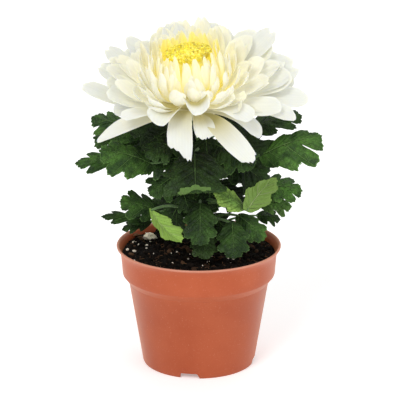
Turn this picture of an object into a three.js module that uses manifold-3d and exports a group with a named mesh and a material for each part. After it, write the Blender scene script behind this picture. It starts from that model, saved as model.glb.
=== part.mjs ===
// A potted chrysanthemum: a nursery pot with a collar, filled with soil, and one leafy stem that
// carries a single large double bloom. Millimetres, +Z up, origin at the centre of the pot's foot.
// The plant's best side faces -Y. Angles are in degrees, and azimuth 0 is +X, 90 is +Y.
import * as THREE from "three";
import { mergeVertices } from "three/addons/utils/BufferGeometryUtils.js";
import Module from "manifold-3d";

const wasm = await Module();
wasm.setup();

// Driving dimensions
const gap = 0.3; // between pieces that touch
const smallestEdge = 0.03; // shorter edges are closed up where repeats are fused
const potHeight = 89.6;
const rimRadius = 60;
const footRadius = 41.2;
const wall = 1.3;
const floorHeight = 4; // the floor stands on the foot ring, over the drainage notches
const collarHeight = 21.3;
const collarRadius = 55.8;
const neckHeight = 63; // where the tapered body ends under the collar
const neckRadius = 51.3;
const collarBottom = potHeight - collarHeight + 1.6; // on the inside of the wall, as is the next
const lipBottom = potHeight - 8.4;
const roundSegments = 36;
const notch = { count: 4, firstAzimuth: -98.6, bottomWidth: 15.5, topWidth: 12, height: 3.9 };
const drain = { radius: 4, ringRadius: 31 };

const soilLevel = 85;
const soilBump = 1.6; // how far crumbs and hollows leave the level

const stemRadius = 2.6;
const stemPath = [[2, 1, 54.3], [2, 1, 84], [1, 3, 120], [2, 2, 158], [0, -0.6, 170], [-2.2, -1.6, 180]];
const leafThickness = 1.1;
const curl = { from: 0.77, bendLength: 0.08 }; // shares of a leaf's length
const petioleRadius = 1.2;
const lowestStalk = 90;
const petioleRise = 10; // how much lower a leaf's stalk leaves the stem than its blade stands

const bloomBase = [-3, -2.6, 187.4]; // the top of the green cup, where the head sits
const bloomTilt = { forward: 9, left: 5 };
const cupDepth = 7;
const bractCount = 9;
const coreRadius = 17.5;
const coreHeight = 47;
const discRadius = 14.6;
const discRise = 6;
const floretCount = 36;
const petalThickness = 0.9;
const narrowPetal = 10; // narrower ones have fewer rows of points
const rayCount = 67;
const goldenAngle = 137.508;

const radians = THREE.MathUtils.degToRad;
const lerp = THREE.MathUtils.lerp;

// A fixed draw from -1 to 1 for the nth copy of something.
function draw(n, kind) {
  const wild = Math.sin(n * 12.9898 + kind * 78.233) * 43758.5453;
  return 2 * (wild - Math.floor(wild)) - 1;
}

// A value that runs smoothly through [share, value] stops.
function through(stops, share) {
  const last = stops.length - 1;
  let i = 0;
  while (i < last - 1 && share > stops[i + 1][0]) i++;
  const [from, to] = [stops[i], stops[i + 1]];
  return lerp(from[1], to[1], THREE.MathUtils.clamp((share - from[0]) / (to[0] - from[0]), 0, 1));
}

function solidOf(geometry, matrix) {
  const bare = new THREE.BufferGeometry();
  bare.setAttribute("position", geometry.getAttribute("position").clone());
  if (geometry.index) bare.setIndex(geometry.index.clone());
  if (matrix) bare.applyMatrix4(matrix);
  const merged = mergeVertices(bare, 1e-4);
  return new wasm.Manifold(
    new wasm.Mesh({
      numProp: 3,
      vertProperties: new Float32Array(merged.attributes.position.array),
      triVerts: new Uint32Array(merged.index.array),
    }),
  );
}

function geometryOf(solid) {
  const mesh = solid.getMesh();
  const geometry = new THREE.BufferGeometry();
  geometry.setAttribute("position", new THREE.BufferAttribute(new Float32Array(mesh.vertProperties), 3));
  geometry.setIndex(new THREE.BufferAttribute(new Uint32Array(mesh.triVerts), 1));
  geometry.computeVertexNormals();
  return geometry;
}

// Joins solids into one, takes out the slivers where they cross and drops any scrap that stays loose.
function fuse(solids) {
  const joined = wasm.Manifold.union(solids).simplify(smallestEdge);
  return joined.decompose().sort((a, b) => b.volume() - a.volume())[0];
}

function meshOf(name, geometry, material) {
  const mesh = new THREE.Mesh(geometry, material);
  mesh.name = name;
  return mesh;
}

// A blade is closed and thin: each row holds its left edge, upper middle, right edge and lower middle,
// and the rows run to one point. Both faces split their quads alike, so that they never cross.
function bladeGeometry(rows, tip) {
  const points = [...rows.flat(), tip];
  const end = points.length - 1;
  const faces = [0, 2, 1, 0, 3, 2];
  rows.forEach((row, i) => {
    const [left, over, right, under] = [0, 1, 2, 3].map((k) => 4 * i + k);
    if (i === rows.length - 1) {
      faces.push(over, end, left, over, right, end, under, left, end, under, end, right);
      return;
    }
    const [nextLeft, nextOver, nextRight, nextUnder] = [4, 5, 6, 7].map((k) => 4 * i + k);
    faces.push(over, nextOver, nextLeft, over, nextLeft, left);
    faces.push(under, nextLeft, nextUnder, under, left, nextLeft);
    faces.push(over, right, nextRight, over, nextRight, nextOver);
    faces.push(under, nextRight, right, under, nextUnder, nextRight);
  });
  const geometry = new THREE.BufferGeometry().setFromPoints(points);
  geometry.setIndex(faces);
  return geometry;
}

// ---- Pot ----

function potProfile() {
  const rim = rimRadius;
  const outside = [
    [footRadius - 3, 0], [footRadius - 0.6, 0], [footRadius, 0.8],
    [neckRadius, neckHeight], [collarRadius - 0.4, potHeight - collarHeight - 0.6],
    [collarRadius, potHeight - collarHeight + 0.8],
    [collarRadius + 1, potHeight - 8], [rim - 1.6, potHeight - 3.2], [rim - 0.2, potHeight - 1.2],
    [rim - 0.1, potHeight - 0.3], [rim - 0.8, potHeight],
  ];
  const inside = [
    [rim - 1.9, potHeight - 0.5], [rim - 3.2, potHeight - 3.2], [collarRadius + 1 - wall, lipBottom],
    [collarRadius - wall, collarBottom], [neckRadius - wall, neckHeight + 0.6],
    [innerRadius(floorHeight + wall), floorHeight + wall], [0, floorHeight + wall],
    [0, floorHeight], [footRadius - 3, floorHeight],
  ];
  return [...outside, ...inside, outside[0]].map(([r, z]) => new THREE.Vector2(r, z));
}

// The inside radius of the tapered body at a height.
function innerRadius(z) {
  return lerp(footRadius, neckRadius, z / neckHeight) - wall;
}

function turned(profile, segments = roundSegments) {
  const upright = new THREE.Matrix4().makeRotationX(Math.PI / 2);
  const lathe = new THREE.LatheGeometry(profile, segments);
  return solidOf(lathe, upright);
}

function potSolid() {
  let pot = turned(potProfile());
  const outline = new THREE.Shape();
  outline.moveTo(-notch.bottomWidth / 2, -1);
  outline.lineTo(notch.bottomWidth / 2, -1);
  outline.lineTo(notch.topWidth / 2, notch.height);
  outline.lineTo(-notch.topWidth / 2, notch.height);
  const cutter = new THREE.ExtrudeGeometry(outline, { depth: 12, bevelEnabled: false });
  const hole = new THREE.CylinderGeometry(drain.radius, drain.radius, 3 * wall, 16);
  for (let i = 0; i < notch.count; i++) {
    const azimuth = radians(notch.firstAzimuth + (360 / notch.count) * i);
    const outward = new THREE.Matrix4().makeRotationZ(azimuth);
    const stand = new THREE.Matrix4().makeBasis(
      new THREE.Vector3(0, 1, 0), new THREE.Vector3(0, 0, 1), new THREE.Vector3(1, 0, 0),
    );
    stand.setPosition(footRadius - 7, 0, 0);
    pot = pot.subtract(solidOf(cutter, outward.clone().multiply(stand)));
    const upright = new THREE.Matrix4().makeRotationX(Math.PI / 2);
    upright.setPosition(drain.ringRadius, 0, floorHeight + wall / 2);
    pot = pot.subtract(solidOf(hole, outward.clone().multiply(upright)));
  }
  return pot;
}

// ---- Soil ----

// A crumbly surface over rings of points, closed by a plain side and bottom that follow the pot's inside.
function soilSolid(stemSocket) {
  const rings = 8;
  const sides = 32;
  const low = floorHeight + wall + gap;
  const points = [];
  const radiusAt = (z) => (z > neckHeight ? collarInside(z) : innerRadius(z)) - gap;
  const push = (r, z, k) => points.push(new THREE.Vector3(
    r * Math.cos((2 * Math.PI * k) / sides), r * Math.sin((2 * Math.PI * k) / sides), z,
  ));
  points.push(new THREE.Vector3(0, 0, soilLevel));
  for (let ring = 1; ring <= rings; ring++)
    for (let k = 0; k < sides; k++) {
      const bump = ring === rings ? 0 : soilBump * draw(ring * sides + k, 3);
      push((radiusAt(soilLevel) * ring) / rings, soilLevel + bump, k);
    }
  for (const z of [lipBottom, collarBottom, neckHeight + 0.6, low])
    for (let k = 0; k < sides; k++) push(radiusAt(z), z, k);
  points.push(new THREE.Vector3(0, 0, low));
  const faces = [];
  const loops = rings + 4;
  for (let k = 0; k < sides; k++) {
    const next = (k + 1) % sides;
    faces.push(0, 1 + k, 1 + next);
    for (let loop = 0; loop < loops - 1; loop++) {
      const [a, b] = [1 + loop * sides + k, 1 + loop * sides + next];
      faces.push(a, a + sides, b + sides, a, b + sides, b);
    }
    const foot = 1 + (loops - 1) * sides;
    faces.push(points.length - 1, foot + next, foot + k);
  }
  const geometry = new THREE.BufferGeometry().setFromPoints(points);
  geometry.setIndex(faces);
  return solidOf(geometry).subtract(stemSocket);
}

// The inside radius at a height in the collar, and over it in the flared lip.
function collarInside(z) {
  const [neck, collar, lip] = [neckRadius - wall, collarRadius - wall, collarRadius + 1 - wall];
  if (z < collarBottom) return lerp(neck, collar, (z - neckHeight - 0.6) / (collarBottom - neckHeight - 0.6));
  if (z < lipBottom) return lerp(collar, lip, (z - collarBottom) / (lipBottom - collarBottom));
  return lerp(lip, rimRadius - 3.2, (z - lipBottom) / (potHeight - 3.2 - lipBottom));
}

// ---- Leafy stem ----

const stemCurve = new THREE.CatmullRomCurve3(stemPath.map((p) => new THREE.Vector3(...p)));

function tubeGeometry(curve, radius, sides, steps) {
  const ring = new THREE.Shape();
  for (let k = 0; k < sides; k++) {
    const angle = (2 * Math.PI * k) / sides;
    const [x, y] = [radius * Math.cos(angle), radius * Math.sin(angle)];
    if (k) ring.lineTo(x, y);
    else ring.moveTo(x, y);
  }
  return new THREE.ExtrudeGeometry(ring, { steps, bevelEnabled: false, extrudePath: curve });
}

// The stem's middle at a height.
function stemAt(height) {
  let [low, high] = [0, 1];
  for (let i = 0; i < 20; i++) {
    const middle = (low + high) / 2;
    if (stemCurve.getPoint(middle).z < height) low = middle;
    else high = middle;
  }
  return stemCurve.getPoint(low);
}

// Half of a leaf's outline, as shares of the blade's length. Each row is one side vein: where it leaves
// the midrib, how far forward it ends and how far out. Lobes and teeth lie between the cuts.
const leafVeins = [
  [0.0, 0.0, 0.04],
  [0.02, 0.04, 0.14],
  [0.06, 0.17, 0.23], // tooth at the base
  [0.09, 0.24, 0.25],
  [0.12, 0.35, 0.34], // lower lobe
  [0.17, 0.46, 0.37],
  [0.21, 0.51, 0.3],
  [0.26, 0.43, 0.16], // first cut
  [0.32, 0.57, 0.28],
  [0.38, 0.7, 0.36], // upper lobe
  [0.45, 0.81, 0.32],
  [0.5, 0.83, 0.23],
  [0.55, 0.75, 0.14], // second cut
  [0.62, 0.87, 0.2], // end lobe with its teeth
  [0.7, 0.95, 0.16],
  [0.8, 0.96, 0.08],
];
const leftOutOfSmall = [1, 3, 6, 8, 11, 14];

// The rows of one half with its two cuts at their depths, where 0 leaves no gap between the lobes.
function veinRows(leaf, cut) {
  const rows = leafVeins.map((row) => [...row]);
  rows[7] = [rows[7][0], lerp(0.54, rows[7][1], cut[0]), lerp(0.3, rows[7][2], cut[0])];
  rows[12] = [rows[12][0], lerp(0.85, rows[12][1], cut[1]), lerp(0.22, rows[12][2], cut[1])];
  return rows.filter((_, i) => !(leaf.small && leftOutOfSmall.includes(i)));
}

// The large leaves, from the top down. from is how high the stalk leaves the stem; base and tip are where
// the blade begins and ends; face is where its upper side looks.
const stemLeaves = [
  { from: 168, base: [-3, -22, 166], tip: [-2, -56, 135], wide: 1.35, face: [0, -0.6, 1], curl: 140,
    fold: -6, cut: [0.1, 0.2] },
  { from: 174, base: [5, -5, 173], tip: [7, -16, 149], wide: 1.3, face: [0, -1, 0.3], small: true },
  { from: 170, base: [-12, -4, 170], tip: [-37, -24, 162], wide: 1.1, face: [-0.2, -0.8, 1], small: true },
  { from: 166, base: [12, -8, 167], tip: [38, -32, 156], wide: 1.2, face: [0.2, -0.8, 1], small: true },
  { from: 168, base: [34, 6, 172], tip: [75, 12, 183], wide: 1, wideRight: 0.75, face: [0, -0.5, 1] },
  { from: 158, base: [43, -4, 157], tip: [89, 2, 171], wide: 0.5, wideRight: 1.3, face: [0.1, -0.75, 1],
    fold: -8, cut: [0, 0.2], cutRight: [0, 1.9] },
  { from: 164, base: [-42, 6, 168], tip: [-78, 16, 181], face: [0, -0.5, 1], small: true },
  { from: 158, base: [-26, 12, 160], tip: [-77, 14, 166], face: [0, -0.4, 1] },
  { from: 154, base: [-33, -14, 154], tip: [-71, -22, 167], wide: 1.25, wideRight: 0.7,
    face: [0, -0.8, 1], fold: -10, cut: [0.2, 0.8] },
  { from: 156, base: [-46, -6, 152], tip: [-89, -8, 153], wide: 0.7, wideRight: 0.6, face: [0, -0.7, 1],
    fold: -10, cut: [1, 1], small: true },
  { from: 152, base: [-12, -5, 156], tip: [-41, -11, 150], wide: 1.1, face: [-0.1, -0.8, 1], small: true },
  { from: 150, base: [18, -2, 156], tip: [51, -12, 136], wide: 1.15, face: [0.3, -0.8, 1],
    cut: [0.1, 0.4] },
  { from: 142, base: [-12, -8, 146], tip: [-35, -22, 133], wide: 1.3, face: [-0.3, -0.8, 1], small: true },
  { from: 132, base: [34, -24, 122], tip: [55, -32, 150], wide: 0.85, face: [-0.3, 1, 0.1], fold: -12,
    cut: [0, 0] },
  { from: 130, base: [33, -22, 123], tip: [10, -30, 139], wide: 0.8, face: [0, -0.7, 0.8], cut: [0, 0],
    small: true },
  { from: 122, base: [-27, -8, 116], tip: [-57, -16, 127], face: [0, -0.9, 1], cut: [0.5, 0.7] },
  { from: 110, base: [-34, -2, 107], tip: [-71, -5, 112], wide: 0.45, wideRight: 0.35,
    face: [0, -0.8, 1], small: true },
  { from: 106, base: [-34, 2, 106], tip: [-56, -3, 101], wide: 0.7, face: [0, -0.8, 1], small: true },
  { from: 118, base: [-35, -32, 127], tip: [-12, -46, 106], wide: 1, face: [-0.6, 0.5, -0.5], fold: -26,
    cut: [0, 0] },
  { from: 124, base: [1, -26, 129], tip: [1, -48, 104], wide: 1, face: [0, -0.9, 0.6], fold: -8,
    cut: [0, 0.3] },
  { from: 138, base: [-12, -14, 135], tip: [-6, -25, 121], wide: 1.2, face: [-0.1, -1, 0.5], small: true },
  { from: 116, base: [24, -24, 114], tip: [25, -44, 93], wide: 1.1, face: [0, -1, 0.5], fold: -8,
    cut: [0, 0.3] },
  { from: 112, base: [28, -10, 115], tip: [47, -24, 100], wide: 0.9, face: [0.2, -0.9, 0.8],
    cut: [0.1, 0.3] },
  { from: 104, base: [1, -24, 107], tip: [6, -42, 92], wide: 1.1, face: [0, -1, 0.6], small: true,
    cut: [0, 0.3] },
  { from: 108, base: [-16, -18, 119], tip: [-15, -34, 104], wide: 0.9, face: [-0.2, -1, 0.5],
    small: true, cut: [0, 0.3] },
  { from: 126, base: [-11, -7, 127], tip: [-24, -22, 105], wide: 1.1, face: [-0.3, -1, 0.5], small: true },
  { from: 110, base: [9, 3, 111], tip: [25, -2, 96], wide: 1.1, face: [0.1, -1, 0.5], small: true },
  { from: 128, base: [44, 8, 131], tip: [76, 12, 126], face: [0, -0.8, 1], cut: [0.5, 1] },
  { from: 120, base: [42, 2, 121], tip: [68, 6, 116], face: [0, -0.8, 1], small: true },
  { from: 106, base: [42, 10, 108], tip: [60, 12, 104], face: [0, -0.8, 1], small: true },
  { from: 140, base: [-2, 4, 142], tip: [-22, 2, 120], wide: 1.2, face: [-0.1, -1, 0.5], small: true },
  { from: 136, base: [8, 4, 140], tip: [8, -2, 112], wide: 1.2, face: [0, -1, 0.3], small: true },
  { from: 132, base: [-10, 8, 128], tip: [-30, 8, 106], wide: 1.2, face: [0, -1, 0.4], small: true },
];

// The leaves at the back follow the stem's own spiral.
const rearLeaves = Array.from({ length: 8 }, (_, n) => {
  const azimuth = radians(35 + ((n * 61) % 110) + 6 * draw(n, 21));
  const height = 168 - 8.5 * n;
  const reach = 22 + 5 * draw(n, 22);
  const length = 38 - 1.2 * n + 4 * draw(n, 23);
  const droop = 6 * draw(n, 24) - (n % 2) * 9;
  const at = (out, z) => [out * Math.cos(azimuth), out * Math.sin(azimuth), z];
  return { from: height, base: at(reach, height + 2), tip: at(reach + length, height + droop), small: n > 2 };
});

// A closed blade from the stem's middle along the stalk and the blade to its tip.
function leafGeometry(leaf) {
  const base = new THREE.Vector3(...leaf.base);
  const tip = new THREE.Vector3(...leaf.tip);
  const length = base.distanceTo(tip);
  const forward = tip.clone().sub(base).normalize();
  const side = new THREE.Vector3(...(leaf.face ?? [0, 0, 1])).cross(forward).normalize();
  const frame = new THREE.Matrix4().makeBasis(forward, side, forward.clone().cross(side)).setPosition(base);
  const place = (along, out, lift) => bladePoint(leaf, along, out, lift)
    .multiplyScalar(length)
    .applyMatrix4(frame);
  const half = leafThickness / 2 / length;
  const cut = leaf.cut ?? [0.5, 0.8];
  const rightRows = veinRows(leaf, leaf.cutRight ?? cut);
  const blade = veinRows(leaf, cut).map(([root, leftAhead, leftOut], i) => {
    const [, rightAhead, rightOut] = rightRows[i];
    const left = leftOut * (leaf.wide ?? 1);
    const right = rightOut * (leaf.wideRight ?? leaf.wide ?? 1);
    return [
      place(leftAhead, left, 0), place(root, 0, half),
      place(rightAhead, -right, 0), place(root, 0, -half),
    ];
  });
  const root = stemAt(Math.max(leaf.from - petioleRise, lowestStalk));
  return bladeGeometry([...stalkRows(root, base, side, leaf), ...blade], place(1, 0, 0));
}

function stalkRows(root, base, side, leaf) {
  const radius = petioleRadius * (leaf.small ? 0.8 : 1);
  const bow = root.clone().lerp(base, 0.5);
  bow.z = Math.max(root.z, base.z) + 2;
  const curve = new THREE.QuadraticBezierCurve3(root, bow, base);
  return [0, 0.4, 0.8].map((share) => {
    const middle = curve.getPoint(share);
    const over = curve.getTangent(share).cross(side).normalize();
    return [
      middle.clone().addScaledVector(side, radius), middle.clone().addScaledVector(over, radius),
      middle.clone().addScaledVector(side, -radius), middle.clone().addScaledVector(over, -radius),
    ];
  });
}

// A point of a blade of length 1: the midrib arches between its ends, the halves fold about it, the lobes
// wave, and past the start of a curl the tip turns up.
function bladePoint(leaf, along, out, lift) {
  const arch = (leaf.arch ?? 0.1) * Math.sin(Math.PI * Math.min(along, 1));
  const fold = Math.abs(out) * Math.tan(radians(leaf.fold ?? -14));
  const wave = 0.1 * Math.sin(9 * along + 2 * Math.sign(out) + leaf.from) * Math.abs(out);
  const up = lift + arch + fold + wave;
  if (along <= curl.from || !leaf.curl) return new THREE.Vector3(along, out, up);
  const arc = Math.min(along - curl.from, curl.bendLength);
  const rest = along - curl.from - arc;
  const turn = radians(leaf.curl) * (arc / curl.bendLength);
  return new THREE.Vector3(
    curl.from + (arc * Math.sin(turn)) / turn + rest * Math.cos(turn) - up * Math.sin(turn),
    out,
    (arc * (1 - Math.cos(turn))) / turn + rest * Math.sin(turn) + up * Math.cos(turn),
  );
}

function leafyStemSolid() {
  const leaves = [...stemLeaves, ...rearLeaves].map((leaf) => solidOf(leafGeometry(leaf)));
  return fuse([solidOf(tubeGeometry(stemCurve, stemRadius, 8, 14)), ...leaves]);
}

// ---- Bloom: all of it stands in a frame whose Z is the head's axis ----

// A petal's path runs through three points, each out from the axis and up; swing turns it about the axis
// on its way, twist turns its blade about the path, and cup raises its edges.
function petalGeometry(petal) {
  const shares = petal.width < narrowPetal ? [0, 0.45, 0.85] : [0, 0.25, 0.5, 0.76, 0.93];
  const widths = petal.width < narrowPetal ? [0.4, 0.85, 0.9] : [0.36, 0.6, 0.92, 1, 0.76];
  const curve = new THREE.QuadraticBezierCurve(...petal.path.map((p) => new THREE.Vector2(...p)));
  const turn = (point, share) => point.applyAxisAngle(
    new THREE.Vector3(0, 0, 1), radians(petal.azimuth + (petal.swing ?? 0) * share * share),
  );
  const rows = shares.map((share, i) => {
    const at = curve.getPoint(share);
    const tangent = curve.getTangent(share);
    const normal = new THREE.Vector3(-tangent.y, 0, tangent.x);
    const twist = radians((petal.twist ?? 0) * share);
    const side = new THREE.Vector3(0, Math.cos(twist), 0).addScaledVector(normal, Math.sin(twist));
    const over = new THREE.Vector3(0, -Math.sin(twist), 0).addScaledVector(normal, Math.cos(twist));
    const half = (petal.width / 2) * widths[i];
    const corner = (across, lift) => turn(
      new THREE.Vector3(at.x, 0, at.y).addScaledVector(side, across).addScaledVector(over, lift), share,
    );
    return [
      corner(half, half * petal.cup), corner(0, petalThickness / 2),
      corner(-half, half * petal.cup), corner(0, -petalThickness / 2),
    ];
  });
  const end = curve.getPoint(1);
  return bladeGeometry(rows, turn(new THREE.Vector3(end.x, 0, end.y), 1));
}

// Ray florets wind out from the disc by the golden angle: the inner ones short, upright and incurved,
// the outer ones long and spreading, those at the back raised. At the front the outer ones make room for the
// guard petals, which hang there.
function rayPetal(n) {
  const share = n / (rayCount - 1);
  const azimuth = n * goldenAngle + 5 * draw(n, 2);
  const [toRight, toBack] = [Math.cos(radians(azimuth)), Math.sin(radians(azimuth))];
  const toFront = Math.max(0, -toBack);
  const size = (1 + 0.07 * draw(n, 1)) * (1 - share * (0.16 * toFront + 0.06 * Math.max(0, -toRight)));
  const lean = 15 * toBack - 8 * toRight * (1 - 1.5 * Math.max(0, toBack));
  const raised = Math.min(1, 2.4 * share ** 1.6) * lean;
  const root = [lerp(coreRadius - 2, 10, share), lerp(24, 4.5, share)];
  const tip = [
    size * through([[0, 18], [0.25, 28], [0.5, 43], [0.75, 61], [1, 76]], share),
    through([[0, 53], [0.25, 48], [0.5, 41], [0.75, 32], [1, 19]], share) + raised + 3 * draw(n, 4),
  ];
  const bow = through([[0, 1], [0.3, 0.9], [0.6, 0.65], [1, 0.5]], share);
  const bulge = (5 + 9 * toFront) * (1 - share);
  const bend = [
    lerp(root[0], tip[0], bow) + bulge,
    lerp(root[1], tip[1], 0.3 - 0.15 * toFront * (1 - share)),
  ];
  return {
    azimuth,
    path: [root, bend, tip],
    width: through([[0, 7.4], [0.25, 10], [0.6, 16], [1, 19]], share),
    cup: through([[0, 0.5], [0.4, 0.6], [1, 0.4]], share),
    swing: 7 * draw(n, 6),
    twist: 26 * Math.min(1, 1.5 * share) * toRight + 14 * draw(n, 7),
    makesRoom: share > 0.68 && toBack < -0.62,
  };
}

// The guard petals under the rest, each as it hangs.
const guardPetals = [
  { azimuth: -102, path: [[9, 4], [50, 24], [47, -16]], width: 19 },
  { azimuth: -68, path: [[9, 4], [44, 18], [70, -13]], width: 16, swing: 12, twist: 30 },
  { azimuth: -79, path: [[9, 4], [42, 16], [42, -1]], width: 15 },
  { azimuth: -85, path: [[11, 12], [36, 28], [46, 18]], width: 17, cup: 0.8 },
  { azimuth: -121, path: [[10, 8], [38, 24], [47, 12]], width: 18, cup: 0.6 },
  { azimuth: -112, path: [[9, 5], [48, 18], [54, 7]], width: 15 },
  { azimuth: -148, path: [[9, 4], [48, 24], [73, 0]], width: 15, swing: -10, twist: -35 },
  { azimuth: -164, path: [[9, 5], [40, 18], [58, 14]], width: 18, twist: -25 },
  { azimuth: 177, path: [[9, 5], [52, 7], [79, 29]], width: 18, cup: 0.4, swing: 2, twist: -20 },
  { azimuth: 161, path: [[10, 8], [48, 18], [70, 35]], width: 18, twist: -20 },
  { azimuth: 151, path: [[10, 12], [48, 22], [69, 44]], width: 17, twist: -15 },
  { azimuth: 136, path: [[11, 14], [44, 26], [62, 47]], width: 16 },
  { azimuth: -4, path: [[9, 4], [48, 14], [82, 7]], width: 20, twist: 32 },
  { azimuth: 9, path: [[9, 6], [48, 16], [74, 16]], width: 20, twist: 34 },
  { azimuth: -18, path: [[9, 4], [46, 16], [75, 1]], width: 17, twist: 16 },
  { azimuth: -38, path: [[9, 4], [42, 14], [58, -5]], width: 15 },
  { azimuth: -48, path: [[9, 5], [42, 22], [59, 12]], width: 20 },
  { azimuth: 32, path: [[12, 20], [48, 26], [72, 46]], width: 16, cup: 0.3, twist: 45 },
  { azimuth: 74, path: [[12, 20], [46, 30], [62, 46]], width: 18, cup: 0.4 },
  { azimuth: 105, path: [[12, 22], [40, 32], [49, 54]], width: 18, cup: 0.4 },
];

function raysSolid() {
  const core = turned([
    [0, gap], [10, gap], [coreRadius - 3, 8], [coreRadius, 26],
    [coreRadius, 42], [coreRadius - 2, coreHeight], [0, coreHeight],
  ].map(([r, z]) => new THREE.Vector2(r, z)), 16);
  const petals = [
    ...Array.from({ length: rayCount }, (_, n) => rayPetal(n)).filter((petal) => !petal.makesRoom),
    ...guardPetals.map((petal) => ({ cup: 0.2, ...petal })),
  ];
  return fuse([core, ...petals.map((petal) => solidOf(petalGeometry(petal)))]);
}

// Disc florets are small stubs that cover a low dome.
function discSolid() {
  const foot = coreHeight + gap;
  const dome = turned([
    [0, foot], [discRadius - 1.5, foot], [discRadius - 1, foot + 1], [discRadius * 0.6, foot + discRise - 2],
    [0, foot + discRise - 1],
  ].map(([r, z]) => new THREE.Vector2(r, z)), 16);
  const florets = Array.from({ length: floretCount }, (_, n) => {
    const share = Math.sqrt((n + 0.5) / floretCount);
    const stub = new THREE.CylinderGeometry(1.2, 0.9, 3.2 + 0.5 * draw(n, 31), 3);
    const height = foot + discRise * (1 - 0.5 * share ** 2) - 1.1;
    const place = new THREE.Matrix4().makeRotationZ(radians(n * goldenAngle));
    place.multiply(new THREE.Matrix4().makeTranslation(share * (discRadius - 1.6), 0, height));
    place.multiply(new THREE.Matrix4().makeRotationY(radians(26 * share)));
    place.multiply(new THREE.Matrix4().makeRotationX(Math.PI / 2));
    return solidOf(stub, place);
  });
  return fuse([dome, ...florets]);
}

// The green cup under the head, ringed by small pointed bracts.
function cupSolid() {
  const cup = turned([
    [0, -cupDepth], [3.4, -cupDepth], [8.6, -1.8], [10.8, 0], [0, 0],
  ].map(([r, z]) => new THREE.Vector2(r, z)), 20);
  const bracts = Array.from({ length: bractCount }, (_, n) => solidOf(petalGeometry({
    azimuth: (360 / bractCount) * n,
    path: [[5, -3.6], [9.6, -2.8], [12.6, 0.4]],
    width: 4.6,
    cup: 0.1,
  })));
  return fuse([cup, ...bracts]);
}

// ---- Assembly ----

const finish = {
  pot: new THREE.MeshStandardMaterial({ color: 0xc4694a, roughness: 0.55 }),
  soil: new THREE.MeshStandardMaterial({ color: 0x2a1d15, roughness: 1 }),
  leaf: new THREE.MeshStandardMaterial({ color: 0x35602a, roughness: 0.6 }),
  cup: new THREE.MeshStandardMaterial({ color: 0x5d7a3a, roughness: 0.7 }),
  petal: new THREE.MeshStandardMaterial({ color: 0xf6f4e2, roughness: 0.6 }),
  disc: new THREE.MeshStandardMaterial({ color: 0xe6cf2a, roughness: 0.7 }),
};

const socket = new THREE.LineCurve3(
  new THREE.Vector3(stemPath[0][0], stemPath[0][1], stemPath[0][2] - gap),
  new THREE.Vector3(stemPath[1][0], stemPath[1][1], soilLevel + 8),
);
const plant = new THREE.Group();
plant.add(meshOf("pot", geometryOf(potSolid()), finish.pot));
const soil = soilSolid(solidOf(tubeGeometry(socket, stemRadius + 2 * gap, 12, 1)));
plant.add(meshOf("soil", geometryOf(soil), finish.soil));
plant.add(meshOf("leafy_stem", geometryOf(leafyStemSolid()), finish.leaf));

const bloom = new THREE.Group();
bloom.position.set(...bloomBase);
bloom.rotation.set(radians(bloomTilt.forward), -radians(bloomTilt.left), 0);
bloom.add(meshOf("bloom_cup", geometryOf(cupSolid()), finish.cup));
bloom.add(meshOf("bloom_rays", geometryOf(raysSolid()), finish.petal));
bloom.add(meshOf("bloom_disc", geometryOf(discSolid()), finish.disc));
plant.add(bloom);

export default plant;
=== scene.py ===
# A potted chrysanthemum: one large double bloom over lobed leaves, in a nursery pot filled with soil.
# Shapes are worked out in millimetres and brought to metres as each piece is finished.
import random
from math import cos, exp, pi, radians, sin, sqrt, tan

import bmesh
import bpy
from mathutils import Matrix, Vector, noise


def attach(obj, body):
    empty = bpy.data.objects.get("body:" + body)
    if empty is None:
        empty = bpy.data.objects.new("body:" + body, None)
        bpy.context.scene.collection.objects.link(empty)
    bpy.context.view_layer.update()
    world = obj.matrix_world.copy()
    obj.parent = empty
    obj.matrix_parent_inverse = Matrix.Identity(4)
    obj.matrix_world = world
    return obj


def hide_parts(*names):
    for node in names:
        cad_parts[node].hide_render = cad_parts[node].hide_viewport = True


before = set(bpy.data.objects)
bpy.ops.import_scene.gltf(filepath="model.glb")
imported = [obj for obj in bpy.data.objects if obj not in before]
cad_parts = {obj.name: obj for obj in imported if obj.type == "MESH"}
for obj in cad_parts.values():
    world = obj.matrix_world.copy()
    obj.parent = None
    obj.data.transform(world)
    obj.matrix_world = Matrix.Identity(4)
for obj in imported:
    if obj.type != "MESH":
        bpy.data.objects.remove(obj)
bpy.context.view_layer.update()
noise.seed_set(7)  # so that noise_vector gives the same crumbs in every run
toMetres = Matrix.Scale(0.001, 4)
goldenAngle = 137.508


def draw(n, kind):  # a fixed draw from -1 to 1 for the nth copy of something
    wild = sin(n * 12.9898 + kind * 78.233) * 43758.5453
    return 2 * (wild % 1) - 1


def lerp(a, b, share):
    return a + (b - a) * share


def smooth(low, high, value):
    share = min(1, max(0, (value - low) / (high - low)))
    return share * share * (3 - 2 * share)


def through(stops, share):  # a value that runs through [share, value] stops
    for (fromShare, fromValue), (toShare, toValue) in zip(stops, stops[1:]):
        if share <= toShare:
            part = (share - fromShare) / (toShare - fromShare)
            return lerp(fromValue, toValue, min(1, max(0, part)))
    return stops[-1][1]


def around(out, angle, height):  # a point this far out from the axis
    return Vector((out * cos(angle), out * sin(angle), height))


def bezier(path, share):  # a quadratic curve's point and direction
    a, b, c = [Vector(p) for p in path]
    point = a.lerp(b, share).lerp(b.lerp(c, share), share)
    direction = (b - a).lerp(c - b, share)
    return point, direction.normalized()


def curveThrough(points, share):  # a smooth curve that passes through its points
    place = share * (len(points) - 1)
    i = min(int(place), len(points) - 2)
    t = place - i
    near = [points[min(max(i + k, 0), len(points) - 1)] for k in (-1, 0, 1, 2)]
    a, b, c, d = [Vector(p) for p in near]
    start = 2 * b + (c - a) * t + (2 * a - 5 * b + 4 * c - d) * t * t
    return 0.5 * (start + (3 * b - a - 3 * c + d) * t ** 3)


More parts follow.
